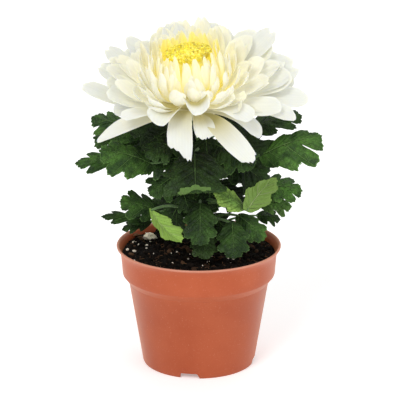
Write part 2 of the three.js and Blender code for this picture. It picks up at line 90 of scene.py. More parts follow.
def newPiece():  # an empty bmesh with a tint on its points and a UV map
    bm = bmesh.new()
    bm.verts.layers.float_color.new("tint")
    bm.loops.layers.uv.new("UVMap")
    return bm


def tintOf(bm):
    return bm.verts.layers.float_color["tint"]


def gridSheet(along, across, place, tint):  # one sheet: place turns shares along and across into a point
    sheet = newPiece()
    bmesh.ops.create_grid(sheet, x_segments=along, y_segments=across, size=1)
    uv = sheet.loops.layers.uv["UVMap"]
    shade = tintOf(sheet)
    spots = {vert: ((vert.co.x + 1) / 2, vert.co.y) for vert in sheet.verts}
    for face in sheet.faces:
        for loop in face.loops:
            loop[uv].uv = spots[loop.vert]
    for vert, (u, v) in spots.items():
        vert.co = place(u, v)
        vert[shade] = tint
    sheet.normal_update()
    return sheet


def addTo(bm, part):  # moves a small bmesh into a piece's bmesh
    mesh = bpy.data.meshes.new("part")
    part.to_mesh(mesh)
    part.free()
    bm.from_mesh(mesh)
    bpy.data.meshes.remove(mesh)


# A leaf or petal has two faces that meet in a thin edge. The lower face's U is 2 more than the upper's.
def addBlade(bm, along, across, place, thickness, tint):
    sheet = gridSheet(along, across, place, tint)
    uv = sheet.loops.layers.uv["UVMap"]
    lift = {v: v.normal * (0 if v.is_boundary else thickness / 2) for v in sheet.verts}
    upper = sheet.verts[:]
    copy = bmesh.ops.duplicate(sheet, geom=sheet.verts[:] + sheet.edges[:] + sheet.faces[:])
    under = [part for part in copy["geom"] if isinstance(part, bmesh.types.BMFace)]
    for vert in upper:
        copy["vert_map"][vert].co = vert.co - lift[vert]
        vert.co = vert.co + lift[vert]
    for face in under:
        for loop in face.loops:
            loop[uv].uv.x += 2
    bmesh.ops.reverse_faces(sheet, faces=under)
    bmesh.ops.remove_doubles(sheet, verts=sheet.verts[:], dist=1e-4)
    for edge in sheet.edges:  # the two faces are shaded apart where they meet
        edge.smooth = len({loop[uv].uv.x > 1.5 for loop in edge.link_loops}) == 1
    addTo(bm, sheet)


def addClosed(bm, part, seam):  # closes the seams up to this wide and the ends, and turns the faces outward
    bmesh.ops.remove_doubles(part, verts=part.verts[:], dist=seam)
    ends = [edge for edge in part.edges if edge.is_boundary]
    if ends:
        bmesh.ops.holes_fill(part, edges=ends, sides=0)
    bmesh.ops.recalc_face_normals(part, faces=part.faces[:])
    addTo(bm, part)


def addTube(bm, along, across, place, tint=(1, 1, 1, 1)):  # a grid rolled up
    addClosed(bm, gridSheet(along, across, place, tint), 1e-4)


def addTurned(bm, outline, segments, tint):  # an outline from axis to axis, turned about it
    part = newPiece()
    rows = [part.verts.new((r, 0, z)) for r, z in outline]
    edges = [part.edges.new(pair) for pair in zip(rows, rows[1:])]
    bmesh.ops.spin(
        part, geom=rows + edges, cent=(0, 0, 0), axis=(0, 0, 1), dvec=(0, 0, 0), angle=2 * pi,
        steps=segments, use_merge=True,
    )
    shade = tintOf(part)
    for vert in part.verts:
        vert[shade] = tint
    addClosed(bm, part, 1e-3)


def link(name, data):  # puts a new object into the scene
    thing = bpy.data.objects.new(name, data)
    bpy.context.scene.collection.objects.link(thing)
    return thing


def addObject(name, bm):  # puts a bmesh into the scene and uses it up
    mesh = bpy.data.meshes.new(name)
    bm.to_mesh(mesh)
    bm.free()
    return link(name, mesh)


def finishPiece(bm, name, material, node, smoothFaces=True):
    piece = addObject(name, bm)
    piece.data.transform(toMetres)
    for polygon in piece.data.polygons:
        polygon.use_smooth = smoothFaces
    piece.data.materials.append(material)
    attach(piece, "root")
    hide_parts(node)
    print(name, "has", sum(len(polygon.vertices) - 2 for polygon in piece.data.polygons), "triangles")
    return piece


def newMaterial(name):  # the material, its node tree and its shader
    material = bpy.data.materials.new(name)
    material.use_nodes = True
    tree = material.node_tree
    return material, tree, tree.nodes["Principled BSDF"]


def wire(tree, value, socket):  # a socket is linked, anything else is set
    if isinstance(value, bpy.types.NodeSocket):
        tree.links.new(value, socket)
    else:
        socket.default_value = value


def wireAll(tree, node, values):  # sets or links a node's inputs by their names
    for name, value in values.items():
        wire(tree, value, node.inputs[name])


def addMath(tree, operation, first, second=0.0, third=0.0):
    node = tree.nodes.new("ShaderNodeMath")
    node.operation = operation
    for value, socket in zip((first, second, third), node.inputs):
        wire(tree, value, socket)
    return node.outputs[0]


def times(tree, first, second, plus=0.0):  # first * second + plus
    return addMath(tree, "MULTIPLY_ADD", first, second, plus)


def highest(tree, first, *others):
    for other in others:
        first = addMath(tree, "MAXIMUM", first, other)
    return first


def addMix(tree, factor, first, second, blend="MIX"):
    node = tree.nodes.new("ShaderNodeMix")
    node.data_type = "RGBA"
    node.blend_type = blend
    wire(tree, factor, node.inputs[0])
    wire(tree, first, node.inputs[6])
    wire(tree, second, node.inputs[7])
    return node.outputs[2]


def addShade(tree, colour, shade):  # a colour times another one, or times a value
    return addMix(tree, 1.0, colour, shade, "MULTIPLY")


def addRange(tree, value, fromLow, fromHigh, toLow=0.0, toHigh=1.0):
    node = tree.nodes.new("ShaderNodeMapRange")
    node.interpolation_type = "SMOOTHSTEP"
    for part, socket in zip((value, fromLow, fromHigh, toLow, toHigh), node.inputs):
        wire(tree, part, socket)
    return node.outputs[0]


def addNoise(tree, scale, detail, roughness, vector=None):
    node = tree.nodes.new("ShaderNodeTexNoise")
    vector = vector or addPlace(tree)
    wireAll(tree, node, {"Vector": vector, "Scale": scale, "Detail": detail, "Roughness": roughness})
    return node.outputs[0]


def addPlace(tree):  # a point's own place on its object
    return tree.nodes.new("ShaderNodeTexCoord").outputs["Object"]


def stretched(tree, vector, scale):  # a place scaled along each axis
    mapping = tree.nodes.new("ShaderNodeMapping")
    wireAll(tree, mapping, {"Vector": vector, "Scale": scale})
    return mapping.outputs[0]


def addTint(tree):  # the three values that a point's tint holds
    tint = tree.nodes.new("ShaderNodeAttribute")
    tint.attribute_name = "tint"
    split = tree.nodes.new("ShaderNodeSeparateColor")
    wire(tree, tint.outputs["Color"], split.inputs[0])
    return split.outputs[:]


def addBladeMap(tree):  # along, across and which face: 0 is the upper, 1 the lower
    uv = tree.nodes.new("ShaderNodeUVMap")
    uv.uv_map = "UVMap"
    split = tree.nodes.new("ShaderNodeSeparateXYZ")
    wire(tree, uv.outputs[0], split.inputs[0])
    face = addMath(tree, "GREATER_THAN", split.outputs[0], 1.5)
    along = addMath(tree, "SUBTRACT", split.outputs[0], times(tree, face, 2.0))
    return along, split.outputs[1], face


def addBump(tree, shader, height, distance, strength):
    bump = tree.nodes.new("ShaderNodeBump")
    wireAll(tree, bump, {"Strength": strength, "Distance": distance, "Height": height})
    wire(tree, bump.outputs[0], shader.inputs["Normal"])


pot = {
    "height": 89.6,
    "rim": 60.0,
    "foot": 41.2,
    "wall": 1.3,
    "floor": 4.0,
    "collarHeight": 21.3,
    "collar": 55.8,
    "neckHeight": 63.0,
    "neck": 51.3,
    "segments": 180,
    "sharpAngle": 32,
    "notchAzimuth": -98.6,
    "notchWidth": 15.5,
    "notchHeight": 3.9,
    "drainRadius": 4.0,
    "drainRing": 31.0,
    "colour": (0.43, 0.085, 0.03, 1),
    "warmColour": (0.48, 0.105, 0.04, 1),
    "paintedBodyShade": 0.86,
    "speckColour": (0.8, 0.42, 0.28, 1),
    "lipHighlightColour": (0.82, 0.46, 0.34, 1),
    "bottomDarkColour": (0.36, 0.1, 0.05, 1),
    "sheen": 0.32,
    "sheenColour": (1.0, 0.45, 0.22, 1),
}


def potMaterial():
    material, tree, shader = newMaterial("terracottaPlastic")
    place = addPlace(tree)
    cloud = addNoise(tree, 28.0, 4.0, 0.6, place)
    speck = addRange(tree, addNoise(tree, 900.0, 2.0, 0.5, place), 0.62, 0.75)
    colour = addMix(tree, addRange(tree, cloud, 0.3, 0.7), pot["colour"], pot["warmColour"])
    colour = addMix(tree, times(tree, speck, 0.18), colour, pot["speckColour"])
    split = tree.nodes.new("ShaderNodeSeparateXYZ")
    wire(tree, place, split.inputs[0])
    height = split.outputs[2]
    # the body below the collar is painted darker than the collar, as shade
    colour = addShade(tree, colour, addRange(tree, height, 0.055, 0.075, pot["paintedBodyShade"], 1.0))
    # a painted highlight along the top of the rim
    lipHighlight = addRange(tree, height, (pot["height"] - 2.2) / 1000, (pot["height"] - 0.4) / 1000)
    colour = addMix(tree, times(tree, lipHighlight, 0.45), colour, pot["lipHighlightColour"])
    # darker towards the bottom, within 4 mm of the ground
    bottomDark = addRange(tree, height, 0.004, 0.0)
    colour = addMix(tree, times(tree, bottomDark, 0.35), colour, pot["bottomDarkColour"])
    rough = addRange(tree, cloud, 0.3, 0.7, 0.3, 0.42)
    wireAll(tree, shader, {
        "Base Color": colour, "Roughness": rough, "Specular IOR Level": 0.2, "Sheen Weight": pot["sheen"],
        "Sheen Roughness": 0.4, "Sheen Tint": pot["sheenColour"],
    })
    fine = addNoise(tree, 700.0, 2.0, 0.5, place)
    addBump(tree, shader, addMath(tree, "ADD", fine, times(tree, cloud, 2.0)), 0.00006, 0.5)
    return material


def potOutline():
    top, rim, wall, floor = pot["height"], pot["rim"], pot["wall"], pot["floor"]
    collar, neck, foot = pot["collar"], pot["neck"], pot["foot"]
    ledge, neckTop = top - pot["collarHeight"], pot["neckHeight"]
    floorRadius = lerp(foot, neck, floor / neckTop) - wall
    outside = [
        (foot - 3, floor), (foot - 3, 0.2), (foot - 2.7, 0), (foot - 0.7, 0), (foot - 0.2, 0.25),
        (foot + 0.1, 0.9), (foot + 0.3, 2), (lerp(foot, neck, 0.5), neckTop / 2), (neck - 0.1, neckTop - 0.8),
        (neck + 0.3, neckTop), (neck + 1, neckTop + 0.6), (collar - 0.9, ledge - 1),
        (collar - 0.25, ledge - 0.4), (collar, ledge + 0.4), (collar + 0.25, ledge + 4),
        (collar + 1, top - 8), (rim - 2.4, top - 4.4), (rim - 0.9, top - 2.2), (rim - 0.2, top - 1.4),
        (rim, top - 0.8), (rim - 0.3, top - 0.2), (rim - 0.9, top),
    ]
    inside = [
        (rim - 1.5, top - 0.3), (rim - 2.2, top - 1.5), (rim - 3.4, top - 3.6),
        (collar + 1 - wall, top - 8.4), (collar - wall, ledge + 1.6), (neck - wall, neckTop + 0.6),
        (floorRadius + 1, 16), (floorRadius, floor + wall + 0.6), (floorRadius - 0.6, floor + wall),
        (0, floor + wall),
    ]
    return [(0, floor)] + outside + inside


def buildPot():
    bm = newPiece()
    addTurned(bm, potOutline(), pot["segments"], (1, 1, 1, 1))
    shell = addObject("potShell", bm)
    cutter = buildPotCutter()
    cut = shell.modifiers.new("cut", "BOOLEAN")
    cut.object = cutter
    cut.solver = "EXACT"
    bpy.context.view_layer.update()
    carved = bpy.data.meshes.new_from_object(shell.evaluated_get(bpy.context.evaluated_depsgraph_get()))
    bpy.data.objects.remove(shell)
    bpy.data.objects.remove(cutter)
    finished = bmesh.new()
    finished.from_mesh(carved)
    piece = finishPiece(finished, "nurseryPot", potMaterial(), "pot")
    piece.data.set_sharp_from_angle(angle=radians(pot["sharpAngle"]))


def buildPotCutter():  # four notches in the foot ring with slanted sides, each with its drain hole
    bm = bmesh.new()
    slants = (0.6, 2.6)  # how much narrower a notch is at its top, to its one and to its other side
    hole = Matrix.Translation((pot["drainRing"], 0, pot["floor"] + pot["wall"] / 2))
    for i in range(4):
        turn = Matrix.Rotation(radians(pot["notchAzimuth"] + 90 * i), 4, "Z")
        block = bmesh.ops.create_cube(bm, size=1)["verts"]
        for vert in block:
            above = vert.co.z > 0
            half = pot["notchWidth"] / 2 - slants[vert.co.y > 0] * above
            vert.co = Vector((
                pot["foot"] - 1 + 12 * vert.co.x, 2 * half * vert.co.y, pot["notchHeight"] if above else -2,
            ))
        rounded = [
            edge for edge in bm.edges
            if all(v in block and v.co.z > 0 for v in edge.verts)
            and abs(edge.verts[0].co.y - edge.verts[1].co.y) < 1e-6
        ]
        bevelled = bmesh.ops.bevel(
            bm, geom=rounded, offset=0.9, segments=4, affect="EDGES", profile=0.5, material=-1,
        )
        block = {v for v in block if v.is_valid} | set(bevelled["verts"])
        bmesh.ops.transform(bm, matrix=turn, verts=list(block))
        bmesh.ops.create_cone(
            bm, cap_ends=True, segments=32, radius1=pot["drainRadius"], radius2=pot["drainRadius"], depth=6,
            matrix=turn @ hole,
        )
    bmesh.ops.recalc_face_normals(bm, faces=bm.faces[:])
    return addObject("potCutter", bm)


soil = {
    "level": 85.0,
    "slope": 0.02,
    "radius": 55.8,
    "rings": 76,
    "spokes": 220,
    "crumbs": 1500,
    "fibres": 150,
    "grains": 46,
    "dark": (0.003, 0.0022, 0.0017, 1),
    "light": (0.013, 0.008, 0.005, 1),
    "fibreColour": (0.15, 0.08, 0.045, 1),
    "paleColour": (0.92, 0.86, 0.78, 1),
    "flecks": [  # where each lies, its length, width and height, its turn, and its fibrous and pale tints
        ((-36, 22), (5, 2.6, 3), 20, (0, 1)), ((-46, 29), (3.6, 2.4, 1.2), 60, (1, 0)),
        ((-47.3, 14), (1.7, 1.2, 0.9), 10, (0, 0.9)), ((-52, -4), (1.4, 1, 0.9), 80, (0, 0.9)),
        ((-46.8, -7.6), (1.6, 1, 0.8), 40, (0, 0.8)), ((-40, 8), (1.2, 0.8, 0.7), 0, (0.3, 0.7)),
    ],
}


def soilHeight(x, y):
    place = Vector((x, y, 0))
    broad = 1.1 * noise.noise(place / 14)
    lumps = 1.5 * abs(noise.noise(place / 4.5 + Vector((7, 3, 1))))
    fine = 0.6 * noise.noise(place / 1.7)
    return soil["level"] + broad + lumps + fine - 0.9 - soil["slope"] * x


def soilMaterial():
    material, tree, shader = newMaterial("pottingSoil")
    tone, fibrous, pale = addTint(tree)
    place = addPlace(tree)
    grains = addNoise(tree, 650.0, 5.0, 0.7, place)
    colour = addMix(tree, addRange(tree, grains, 0.38, 0.72), soil["dark"], soil["light"])
    colour = addMix(tree, fibrous, colour, soil["fibreColour"])
    colour = addMix(tree, pale, colour, soil["paleColour"])
    colour = addShade(tree, colour, addMix(tree, tone, (0.4, 0.4, 0.4, 1), (1.7, 1.6, 1.5, 1)))
    rough = addRange(tree, grains, 0.3, 0.7, 0.95, 0.7)
    wireAll(tree, shader, {"Base Color": colour, "Roughness": rough, "Specular IOR Level": 0.12})
    addBump(tree, shader, addMath(tree, "ADD", grains, addNoise(tree, 2200.0, 2.0, 0.5, place)), 0.0006, 0.9)
    return material


def buildSoil():
    bm = newPiece()
    radius = soil["radius"]
    gap, edge = 0.3, 0.8  # to the pot's wall and floor, and the share at which the surface ends
    low = pot["floor"] + pot["wall"] + gap
    lowRadius = lerp(pot["foot"], pot["neck"], low / pot["neckHeight"]) - pot["wall"] - gap
    neckRadius = pot["neck"] - pot["wall"] - gap

    def place(u, v):  # the surface, then down its side, then back to the middle of its bottom
        angle = pi * v
        if u <= edge:
            out = radius * u / edge
            height = soilHeight(out * cos(angle), out * sin(angle))
            return around(out, angle, height - 1.2 * smooth(radius - 3, radius, out))
        out = through([(edge, radius), (0.86, 54), (0.9, neckRadius), (0.95, lowRadius), (1, 0)], u)
        height = through([(edge, soil["level"] - 1.4), (0.86, 69.9), (0.9, 63.6), (0.95, low), (1, low)], u)
        return around(out, angle, height)

    addClosed(bm, gridSheet(soil["rings"], soil["spokes"], place, (0.5, 0, 0, 1)), 1e-3)
    addCrumbs(bm)
    addFibres(bm)
    addFlecks(bm)
    finishPiece(bm, "pottingSoil", soilMaterial(), "soil", smoothFaces=False)


def spotOnSoil(rng, inset):  # anywhere on the surface, but not within the inset of its edge
    out = (soil["radius"] - inset) * sqrt(rng.random())
    angle = rng.uniform(0, 2 * pi)
    return out * cos(angle), out * sin(angle)


def addCrumbs(bm):  # dark crumbs and pale grains, joined sixty at a time because that is faster
    rng = random.Random(11)
    heap = newPiece()
    for n in range(soil["crumbs"] + soil["grains"]):
        if n % 60 == 59:
            addTo(bm, heap)
            heap = newPiece()
        pale = n >= soil["crumbs"]
        size = rng.uniform(0.5, 1.1) if pale else 0.45 + 1.9 * rng.random() ** 3
        x, y = spotOnSoil(rng, 1.5 + size)
        turn = Matrix.Rotation(rng.uniform(0, 6.3), 4, rng.choice("XYZ"))
        stretch = Matrix.Diagonal((rng.uniform(0.8, 1.5), rng.uniform(0.7, 1.1), rng.uniform(0.6, 1), 1))
        place = Matrix.Translation((x, y, soilHeight(x, y) + 0.25 * size)) @ turn @ stretch
        detail = 2 if size > 1.3 else 1
        crumb = bmesh.ops.create_icosphere(heap, subdivisions=detail, radius=size, matrix=place)
        tone = rng.random()
        fibrous = 0.7 * rng.random() ** 2 if rng.random() < 0.25 else 0.0
        shade = tintOf(heap)
        for vert in crumb["verts"]:
            vert.co += size * 0.35 * noise.noise_vector(vert.co / size * 1.3)
            vert[shade] = (1.0, 0, rng.uniform(0.6, 1), 1) if pale else (tone, fibrous, 0, 1)
    addTo(bm, heap)


def addFlecks(bm):  # pale chips and bits of leaf at the back left
    part = newPiece()
    shade = tintOf(part)
    for (x, y), size, turn, (fibrous, pale) in soil["flecks"]:
        place = Matrix.Translation((x, y, soilHeight(x, y) + 0.7 * size[2]))
        place @= Matrix.Rotation(radians(turn), 4, "Z") @ Matrix.Rotation(0.3, 4, "Y")
        fleck = bmesh.ops.create_icosphere(part, subdivisions=3, radius=1)
        for vert in fleck["verts"]:
            vert.co += 0.6 * noise.noise_vector(1.5 * vert.co + Vector((x, y, 0)))
            vert.co = place @ Vector(a * b for a, b in zip(vert.co, size))
            vert[shade] = (0.8, fibrous, pale, 1)
    addTo(bm, part)


def addFibres(bm):  # thin bent threads that lie on the soil
    rng = random.Random(5)
    for _ in range(soil["fibres"]):
        x, y = spotOnSoil(rng, 5)
        heading = rng.uniform(0, 2 * pi)
        length = rng.uniform(2, 5)
        bend = rng.uniform(-0.9, 0.9)
        radius = rng.uniform(0.12, 0.3)

        def place(u, v):
            angle = heading + bend * u
            out = length * (u - 0.5)
            cx, cy = x + out * cos(angle), y + out * sin(angle)
            top = soilHeight(cx, cy) + 0.5 + 0.5 * sin(3 * u)
            side, rise = radius * cos(pi * v), radius * sin(pi * v)
            return Vector((cx - side * sin(angle), cy + side * cos(angle), top + rise))

        addTube(bm, 6, 4, place, (rng.uniform(0.4, 1), rng.uniform(0.5, 1), 0, 1))


stem = {
    "radius": 2.6,
    "topRadius": 2.2,
    "ridges": 0.06,
    "path": [(2, 1, 54.3), (2, 1, 84), (1, 3, 120), (2, 2, 158), (0, -0.6, 170), (-2.2, -1.6, 180)],
    "stalkRadius": 1.2,
    "stalkRise": 10,
    "lowestStalk": 90,
    "colour": (0.13, 0.24, 0.06, 1),
    "shade": (0.06, 0.13, 0.035, 1),
}


def stemPoint(height):  # the stem's middle at a height
    spots = [curveThrough(stem["path"], k / 60) for k in range(61)]
    return min(spots, key=lambda spot: abs(spot.z - height))


def sweep(path, radius, ridges=0.0):  # place for a tube of a given radius along a path
    def place(u, v):
        middle = path(u)
        ahead = (path(min(1, u + 0.01)) - path(max(0, u - 0.01))).normalized()
        side = ahead.cross(Vector((0.13, 0.97, 0.2))).normalized()
        over = side.cross(ahead)
        angle = pi * v
        out = radius(u) * (1 + ridges * cos(6 * angle))
        return middle + out * (cos(angle) * side + sin(angle) * over)
    return place


def stemMaterial():
    material, tree, shader = newMaterial("greenStem")
    place = addPlace(tree)
    streaks = addNoise(tree, 120.0, 4.0, 0.6, stretched(tree, place, (9.0, 9.0, 1.0)))
    colour = addMix(tree, addRange(tree, streaks, 0.35, 0.65), stem["shade"], stem["colour"])
    wireAll(tree, shader, {"Base Color": colour, "Roughness": 0.55, "Sheen Weight": 0.25})
    addBump(tree, shader, streaks, 0.0004, 0.6)
    return material


def buildStem():
    bm = newPiece()
    radii = stem["radius"], stem["topRadius"]
    grown = sweep(lambda u: curveThrough(stem["path"], u), lambda u: lerp(*radii, u), stem["ridges"])
    addTube(bm, 60, 24, grown)
    for leaf in allLeaves():  # a stalk bows over from the stem and ends a little way into the blade
        root = stemPoint(max(leaf["height"] - stem["stalkRise"], stem["lowestStalk"]))
        base = Vector(leaf["base"])
        bow = root.lerp(base, 0.5)
        bow.z = max(root.z, base.z) + 2
        thick = stem["stalkRadius"] * (0.8 if leaf["small"] else 1)
        stalk = [root, bow, base + (Vector(leaf["tip"]) - base) * 0.06]
        addTube(bm, 14, 10, sweep(lambda u: bezier(stalk, u)[0], lambda u: thick * lerp(1.05, 0.7, u)))
    finishPiece(bm, "stem", stemMaterial(), "leafy_stem")


# Half a leaf's outline: each row is a side vein, with where it leaves the midrib, how far ahead it ends
# and how far out, as shares of the blade's length.
leafVeins = [
    (0.0, 0.0, 0.04), (0.02, 0.04, 0.14), (0.06, 0.17, 0.23), (0.09, 0.24, 0.25), (0.12, 0.35, 0.34),
    (0.17, 0.46, 0.37), (0.21, 0.51, 0.3), (0.26, 0.43, 0.16), (0.32, 0.57, 0.28), (0.38, 0.7, 0.36),
    (0.45, 0.81, 0.32), (0.5, 0.83, 0.23), (0.55, 0.75, 0.14), (0.62, 0.87, 0.2), (0.7, 0.95, 0.16),
    (0.8, 0.96, 0.08), (1.0, 1.0, 0.0),
]
lobeGaps = {7: (0.54, 0.3), 12: (0.85, 0.22)}  # two of the rows as they are where no gap is cut
smallLeafSkips = (1, 3, 6, 8, 11, 14)  # rows that a small leaf does without
foliage = {
    # how dark the painted shade inside the plant is
    "paintedInnerShade": 0.34,
    "thickness": 0.55,
    "grid": (80, 12),
    "arch": 0.1,
    "curlFrom": 0.77,
    "tooth": 0.022,
    "dark": (0.010, 0.034, 0.005, 1),
    "green": (0.062, 0.15, 0.022, 1),
    "vein": (0.13, 0.24, 0.065, 1),
    "under": (0.18, 0.33, 0.075, 1),
    "underVein": (0.46, 0.58, 0.24, 1),
    "lime": (0.235, 0.37, 0.07, 1),
}
plainLeaf = {
    "small": False,
    "wide": 1,  # its width as a share of the outline's, wideRight for its right half alone
    "fold": -14,  # how far its halves stand up from the midrib, in degrees
    "curl": 0,  # how far its end turns over, in degrees
    "cut": (0.5, 0.8),  # how deep the two gaps between its lobes are, cutRight for its right half alone
    "slim": 0,  # how much narrower its base is
    "point": 0,  # how much narrower its end is
    "lime": 0,  # how light a green it is
}  # and tone, from 0 for dark to 1 for light, which is drawn for a leaf that has none


def newLeaf(height, base, tip, face=(0, 0, 1), **more):
    return {**plainLeaf, "height": height, "base": base, "tip": tip, "face": face, **more}


# Each large leaf: how high its stalk leaves the stem, where its blade begins and ends, and where its upper
# side looks.
stemLeaves = [
    # The first leaf hangs under the head; its low tone paints the shade that the head casts on it.
    newLeaf(168, (-3, -22, 166), (-2, -56, 135), (0, -0.6, 1), wide=1.35, fold=-6, curl=140, cut=(0.1, 0.2),
            tone=0.05),
    newLeaf(174, (5, -5, 173), (7, -16, 149), (0, -1, 0.3), wide=1.3, small=True),
    newLeaf(170, (-12, -4, 170), (-37, -24, 162), (-0.2, -0.8, 1), wide=1.1, small=True),
    newLeaf(166, (12, -8, 167), (38, -32, 156), (0.2, -0.8, 1), wide=1.2, small=True),
    newLeaf(168, (34, 6, 172), (75, 12, 183), (0, -0.5, 1), wideRight=0.75),
    newLeaf(158, (43, -4, 157), (89, 2, 171), (0.1, -0.75, 1), wide=0.5, wideRight=1.3, fold=-8, cut=(0, 0.2),
         cutRight=(0, 1.9)),
    newLeaf(164, (-42, 6, 168), (-78, 16, 181), (0, -0.5, 1), small=True),
    newLeaf(158, (-26, 12, 160), (-77, 14, 166), (0, -0.4, 1)),
    newLeaf(154, (-33, -14, 154), (-71, -22, 167), (0, -0.8, 1), wide=1.25, wideRight=0.7, fold=-10,
         cut=(0.2, 0.8)),
    newLeaf(156, (-46, -6, 152), (-89, -8, 153), (0, -0.7, 1), wide=0.7, wideRight=0.6, small=True, fold=-10,
         cut=(1, 1)),
    newLeaf(152, (-12, -5, 156), (-41, -11, 150), (-0.1, -0.8, 1), wide=1.1, small=True),
    newLeaf(150, (18, -2, 156), (51, -12, 136), (0.3, -0.8, 1), wide=1.15, cut=(0.1, 0.4)),
    newLeaf(142, (-12, -8, 146), (-35, -22, 133), (-0.3, -0.8, 1), wide=1.3, small=True),
    newLeaf(132, (34, -24, 122), (55, -32, 150), (-0.3, 1, 0.1), wide=0.85, fold=-12, cut=(0, 0), point=0.6,
         lime=0.5, tone=0.24),
    newLeaf(130, (33, -22, 123), (10, -30, 139), (0, -0.7, 0.8), wide=0.8, small=True, cut=(0, 0), lime=1,
         tone=1),
    newLeaf(122, (-27, -8, 116), (-57, -16, 127), (0, -0.9, 1), cut=(0.5, 0.7)),
    newLeaf(110, (-34, -2, 107), (-71, -5, 112), (0, -0.8, 1), wide=0.45, wideRight=0.35, small=True),
    newLeaf(106, (-34, 2, 106), (-56, -3, 101), (0, -0.8, 1), wide=0.7, small=True),
    newLeaf(118, (-35, -32, 127), (-12, -46, 106), (-0.6, 0.5, -0.5), wide=1.5, wideRight=0.8, fold=-26,
         cut=(0, 0), slim=0.9, point=0.3, lime=0.75),
    newLeaf(124, (1, -26, 129), (1, -48, 104), (0, -0.9, 0.6), fold=-8, cut=(0, 0.3)),
    newLeaf(138, (-12, -14, 135), (-6, -25, 121), (-0.1, -1, 0.5), wide=1.2, small=True),
    newLeaf(116, (24, -24, 114), (25, -44, 93), (0, -1, 0.5), wide=1.1, fold=-8, cut=(0, 0.3)),
    newLeaf(112, (28, -10, 115), (47, -24, 100), (0.2, -0.9, 0.8), wide=0.9, cut=(0.1, 0.3)),
    newLeaf(104, (1, -24, 107), (6, -42, 92), (0, -1, 0.6), wide=1.1, small=True, cut=(0, 0.3), lime=0.15),
    newLeaf(108, (-16, -18, 119), (-15, -34, 104), (-0.2, -1, 0.5), wide=0.9, small=True, cut=(0, 0.3)),
    newLeaf(126, (-11, -7, 127), (-24, -22, 105), (-0.3, -1, 0.5), wide=1.1, small=True),
    newLeaf(110, (9, 3, 111), (25, -2, 96), (0.1, -1, 0.5), wide=1.1, small=True),
    newLeaf(128, (44, 8, 131), (76, 12, 126), (0, -0.8, 1), cut=(0.5, 1), tone=0.95),
    newLeaf(120, (42, 2, 121), (68, 6, 116), (0, -0.8, 1), small=True, lime=0.12),
    newLeaf(106, (42, 10, 108), (60, 12, 104), (0, -0.8, 1), small=True),
    newLeaf(140, (-2, 4, 142), (-22, 2, 120), (-0.1, -1, 0.5), wide=1.2, small=True),
    newLeaf(136, (8, 4, 140), (8, -2, 112), (0, -1, 0.3), wide=1.2, small=True),
    newLeaf(132, (-10, 8, 128), (-30, 8, 106), (0, -1, 0.4), wide=1.2, small=True),
]

# Small leaves close under the head, painted dark (tone 0) for the shade there, which fill the gaps behind the
# hanging petals.
fillLeaves = [
    newLeaf(height, base, tip, (0, -1, up), wide=wide, small=True, tone=0)
    for height, base, tip, up, wide in (
        (174, (-10, 6, 184), (-53, 2, 177), 0.5, 1.1),
        (174, (10, 6, 184), (38, 2, 174), 0.5, 1.1),
        (174, (-4, 2, 176), (-18, -4, 150), 0.3, 1.3),
        (174, (-16, 2, 178), (-42, -4, 164), 0.5, 1.2),
        (160, (6, 4, 162), (22, 0, 140), 0.4, 1.2),
        (176, (-7, 4, 183), (-8, 0, 160), 0.1, 1.1),
        (170, (26, 2, 170), (54, -4, 152), 0.4, 1.1),
        (130, (12, 2, 136), (34, -2, 118), 0.4, 1.1),
    )
]


def allLeaves():
    rear = []  # the leaves at the back follow the stem's own spiral
    for n in range(8):
        azimuth = radians(35 + (n * 61) % 110 + 6 * draw(n, 21))
        height = 168 - 8.5 * n
        reach = 22 + 5 * draw(n, 22)
        length = 38 - 1.2 * n + 4 * draw(n, 23)
        droop = 6 * draw(n, 24) - (n % 2) * 9
        base, tip = around(reach, azimuth, height + 2), around(reach + length, azimuth, height + droop)
        rear.append(newLeaf(height, base, tip, small=n > 2))
    return stemLeaves + rear + fillLeaves


def bladePoint(leaf, along, out):  # a point of a blade of length 1: arched, folded, waved, curled at its tip
    curlFrom, bendLength = foliage["curlFrom"], 0.08
    lift = foliage["arch"] * sin(pi * min(along, 1))
    lift += abs(out) * tan(radians(leaf["fold"]))
    sign = (out > 0) - (out < 0)
    lift += 0.1 * sin(9 * along + 2 * sign + leaf["height"]) * abs(out)
    if along <= curlFrom or not leaf["curl"]:
        return Vector((along, out, lift))
    arc = min(along - curlFrom, bendLength)
    rest = along - curlFrom - arc
    turn = radians(leaf["curl"]) * arc / bendLength
    return Vector((
        curlFrom + arc * sin(turn) / turn + rest * cos(turn) - lift * sin(turn), out,
        arc * (1 - cos(turn)) / turn + rest * sin(turn) + lift * cos(turn),
    ))


def veinRows(leaf, cut):
    rows = list(leafVeins)
    for (i, (ahead, out)), depth in zip(lobeGaps.items(), cut):
        rows[i] = (rows[i][0], lerp(ahead, rows[i][1], depth), lerp(out, rows[i][2], depth))
    return [row for i, row in enumerate(rows) if not (leaf["small"] and i in smallLeafSkips)]


def leafPlace(leaf, n):  # place for a blade, whose v is below 0 on its right half
    base, tip = Vector(leaf["base"]), Vector(leaf["tip"])
    length = (tip - base).length
    forward = (tip - base).normalized()
    side = Vector(leaf["face"]).cross(forward).normalized()
    over = forward.cross(side)
    left = leaf["wide"]
    right = leaf.get("wideRight", left)
    veins = [veinRows(leaf, leaf.get("cutRight", leaf["cut"])), veinRows(leaf, leaf["cut"])]

    def place(u, v):
        root, ahead, out = curveThrough(veins[v > 0], u)
        reach = abs(v)
        tooth = foliage["tooth"] * (abs(sin(pi * (19 * u + 0.1 * n))) - 0.7)
        tooth *= smooth(0.75, 1, reach) * smooth(0, 0.12, u) * smooth(1, 0.97, u)
        along = lerp(root, ahead, reach) + tooth * 0.7
        across = (max(0, out) * reach + tooth) * (left if v > 0 else -right)
        across *= 1 - leaf["slim"] * (1 - along) ** 3 - leaf["point"] * along ** 3
        point = bladePoint(leaf, along, across)
        swell = 0.01 * sin(u * 2 * pi * 8 + 1) * sin(pi * reach) * smooth(0, 0.1, 1 - u)
        return base + length * (point.x * forward + point.y * side + (point.z + swell) * over)
    return place


